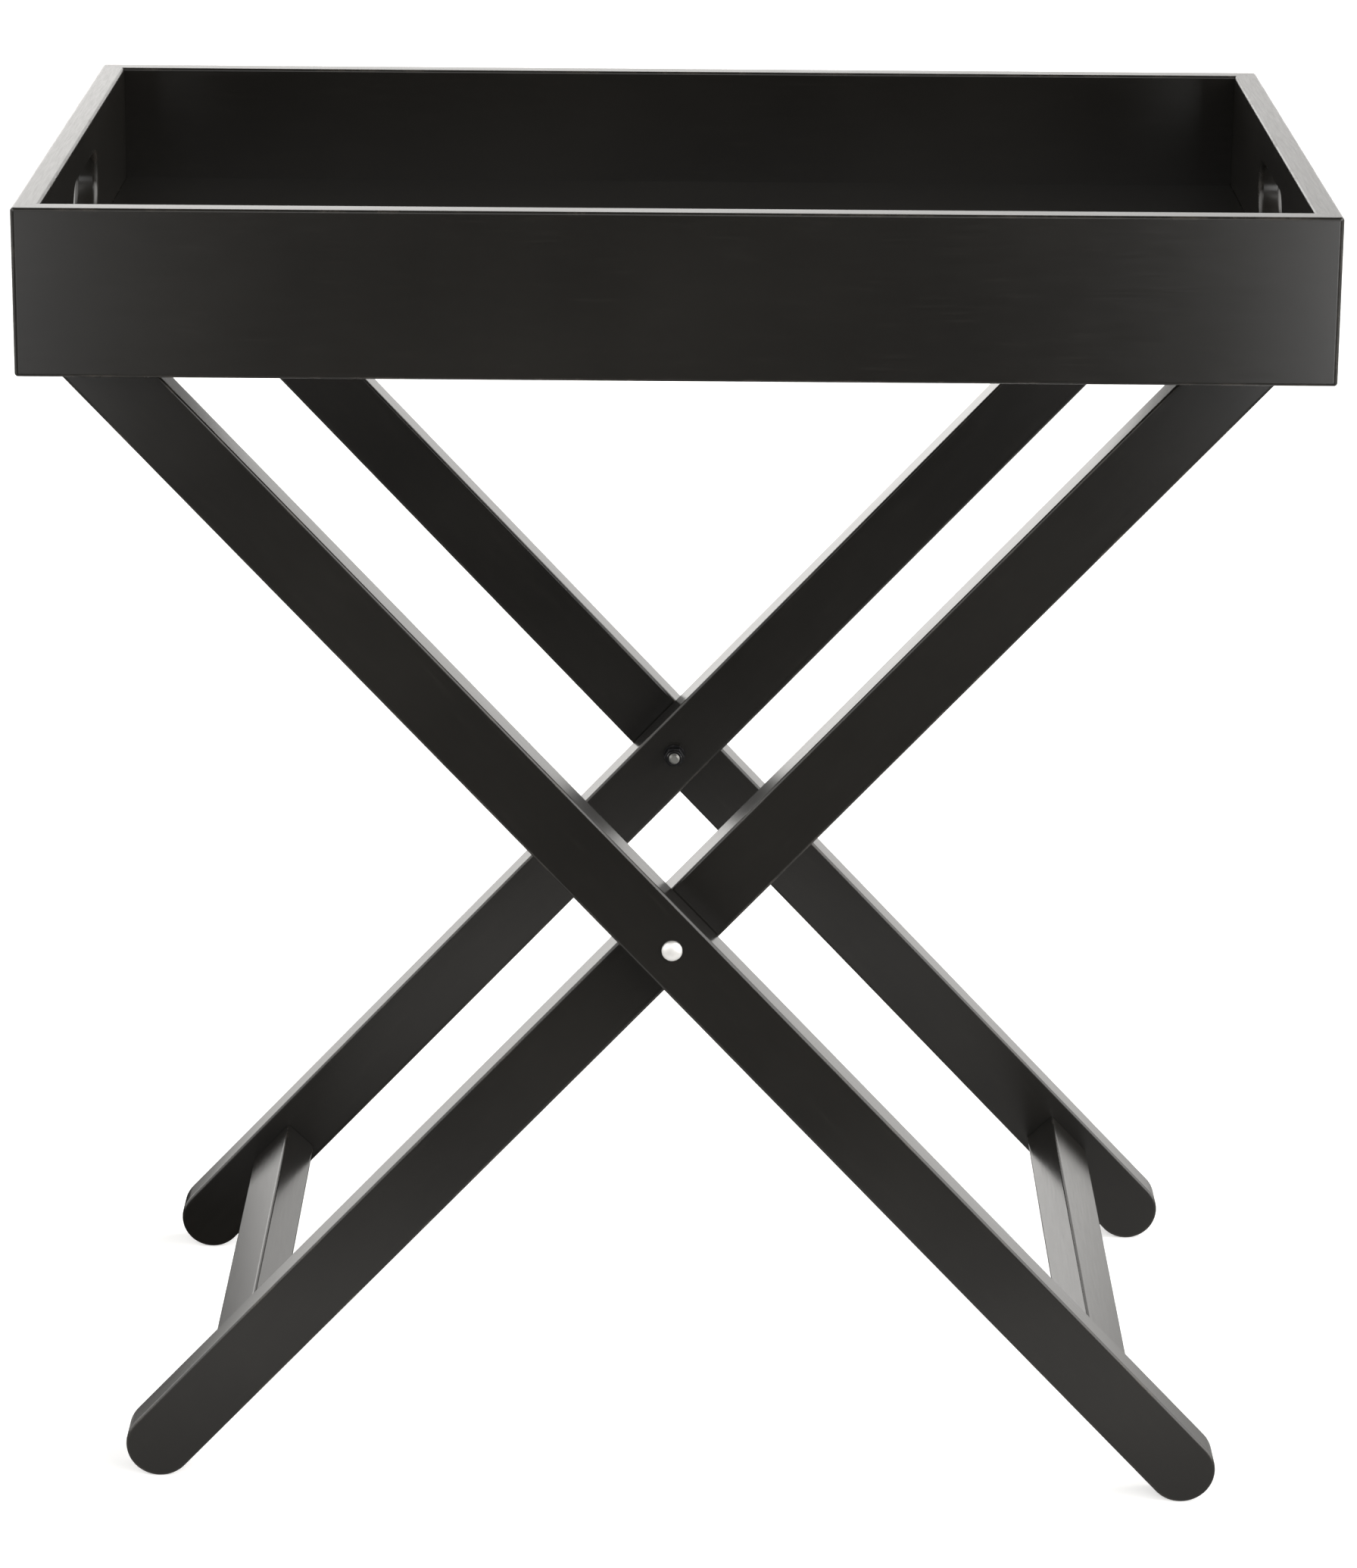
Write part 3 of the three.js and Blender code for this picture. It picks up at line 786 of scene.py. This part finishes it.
def build_ground():
    """The pale floor, plain to the eye. What the gloss of the wood mirrors of it is a glow of painted light and
    painted shadow, lighter in some places than in others, like a floor with lamplight and a table's shadow on it.
    """
    bm = bmesh.new()
    bmesh.ops.create_circle(bm, cap_ends=True, radius=GROUND_RADIUS, segments=96)
    mesh = bpy.data.meshes.new("ground")
    bm.to_mesh(mesh)
    bm.free()
    ground = bpy.data.objects.new("ground", mesh)
    bpy.context.scene.collection.objects.link(ground)
    material, tree, shader = new_material("pale floor")
    tone = noise(tree, stretched(tree, (1, 1, 1), own=False), 3, detail=2)
    paper = blended(tree, tone, (0.86, 0.86, 0.855), (0.88, 0.88, 0.875))
    tree.links.new(paper, shader.inputs["Base Color"])
    shader.inputs["Roughness"].default_value = 0.9
    shader.inputs["Specular IOR Level"].default_value = 0.0
    shader.inputs["Emission Color"].default_value = (1, 1, 1, 1)
    shader.inputs["Emission Strength"].default_value = FLOOR_GLOW
    place = add(tree, "ShaderNodeSeparateXYZ")
    tree.links.new(add(tree, "ShaderNodeTexCoord").outputs["Object"], place.inputs["Vector"])
    x, y, _ = place.outputs
    left = graded(tree, y, FLOOR_LEFT)
    right = graded(tree, y, FLOOR_RIGHT)
    rightwards = ranged(tree, x, -0.2, 0.2, 0, 1)
    change = combined(tree, "MULTIPLY", rightwards, combined(tree, "SUBTRACT", right, left))
    bright = combined(tree, "ADD", left, change)
    # the floor's glow in the gloss of the wood: painted light, and a painted shadow of the table
    painted_floor_light = add(tree, "ShaderNodeEmission", Color=WARM_WHITE)
    tree.links.new(bright, painted_floor_light.inputs["Strength"])
    seen = add(tree, "ShaderNodeLightPath").outputs["Is Glossy Ray"]
    mix = add(tree, "ShaderNodeMixShader")
    tree.links.new(seen, mix.inputs[0])
    tree.links.new(shader.outputs[0], mix.inputs[1])
    tree.links.new(painted_floor_light.outputs[0], mix.inputs[2])
    tree.links.new(mix.outputs[0], tree.nodes["Material Output"].inputs["Surface"])
    mesh.materials.append(material)


# How bright the studio is, as (X or Z of the direction, brightness). Behind the table the two brightnesses
# are multiplied, and in front of it they are added.
BEHIND_BY_HEIGHT = [(0.05, 1), (0.5, 0.25), (0.8, 0.05)]
BEHIND_BY_SIDE = [(-0.15, 2.7), (0.2, 1.65)]
FRONT_BY_HEIGHT = [(-0.05, 0.1), (0.25, 0.7), (0.6, 0.7), (0.9, 0.1)]
FRONT_BY_SIDE = [(-0.7, 1.6), (-0.35, 0), (0.35, 0), (0.7, 3.8)]


def build_world():
    """A white studio. Behind the table it is bright low down and brighter at the left. In front it is dim,
    with a soft band above and light from both sides, more of it from the right.
    """
    world = bpy.data.worlds.new("studio")
    world.use_nodes = True
    bpy.context.scene.world = world
    tree = world.node_tree
    tree.nodes.clear()
    direction = add(tree, "ShaderNodeTexCoord").outputs["Generated"]
    split = add(tree, "ShaderNodeSeparateXYZ")
    tree.links.new(direction, split.inputs["Vector"])
    x, y, z = split.outputs
    behind = ranged(tree, y, 0.05, 0.6, 0, 1)
    low_down = graded(tree, z, BEHIND_BY_HEIGHT)
    leftwards = graded(tree, x, BEHIND_BY_SIDE)
    back = combined(tree, "MULTIPLY", low_down, leftwards)
    above = graded(tree, z, FRONT_BY_HEIGHT)
    sides = graded(tree, x, FRONT_BY_SIDE)
    front = combined(tree, "ADD", sides, above)
    change = combined(tree, "MULTIPLY", behind, combined(tree, "SUBTRACT", back, front))
    light = combined(tree, "ADD", front, change)
    seen = add(tree, "ShaderNodeLightPath").outputs["Is Camera Ray"]
    studio = add(tree, "ShaderNodeBackground", Color=WARM_WHITE)
    tree.links.new(light, studio.inputs["Strength"])
    backdrop = add(tree, "ShaderNodeBackground", Color=(1, 1, 1, 1), Strength=1.0)
    mix = add(tree, "ShaderNodeMixShader")
    output = add(tree, "ShaderNodeOutputWorld")
    tree.links.new(seen, mix.inputs[0])
    tree.links.new(studio.outputs[0], mix.inputs[1])
    tree.links.new(backdrop.outputs[0], mix.inputs[2])
    tree.links.new(mix.outputs[0], output.inputs["Surface"])


def build_softbox(name, location, target, size, power):
    """A rectangular lamp, of this size in metres and this power in watts, that looks at the target."""
    light = bpy.data.lights.new(name, "AREA")
    light.shape = "RECTANGLE"
    light.size, light.size_y = size
    light.energy = power
    lamp = bpy.data.objects.new(name, light)
    lamp.location = location
    lamp.rotation_mode = "QUATERNION"
    lamp.rotation_quaternion = (Vector(target) - Vector(location)).to_track_quat("-Z", "Y")
    lamp.visible_camera = False
    bpy.context.scene.collection.objects.link(lamp)


CAMERA_PLACE = Vector((0.004, -2.766, 1.160))
CAMERA_PITCH = math.radians(16.75)
CAMERA_YAW = math.radians(0.03)
CAMERA_ROLL = math.radians(0.425)
CAMERA_LENS = 123.8  # millimetres
SENSOR_WIDTH = 36  # millimetres


def build_camera():
    """The camera stands high in front of the table, and looks down at it."""
    data = bpy.data.cameras.new("camera")
    data.lens = CAMERA_LENS
    data.sensor_width = SENSOR_WIDTH
    camera = bpy.data.objects.new("camera", data)
    tilt = Matrix.Rotation(math.pi / 2 - CAMERA_PITCH, 4, "X")
    roll = Matrix.Rotation(CAMERA_ROLL, 4, "Z")
    turn = Matrix.Rotation(CAMERA_YAW, 4, "Z")
    camera.matrix_world = Matrix.Translation(CAMERA_PLACE) @ turn @ tilt @ roll
    bpy.context.scene.collection.objects.link(camera)
    bpy.context.scene.camera = camera


build_ground()
build_world()
build_softbox("front softbox", (0.1, -2.7, 2.1), target=(0, 0, 0.6), size=(1.6, 0.8), power=6)
build_softbox("left panel", (-0.54, -1.15, 0.5), target=(-0.3, -0.2, 0.6), size=(0.22, 0.4), power=0.6)
build_softbox("right panel", (0.56, -1.15, 0.5), target=(0.3, -0.2, 0.6), size=(0.22, 0.4), power=1.5)
build_camera()
bpy.context.scene.view_settings.view_transform = "Standard"
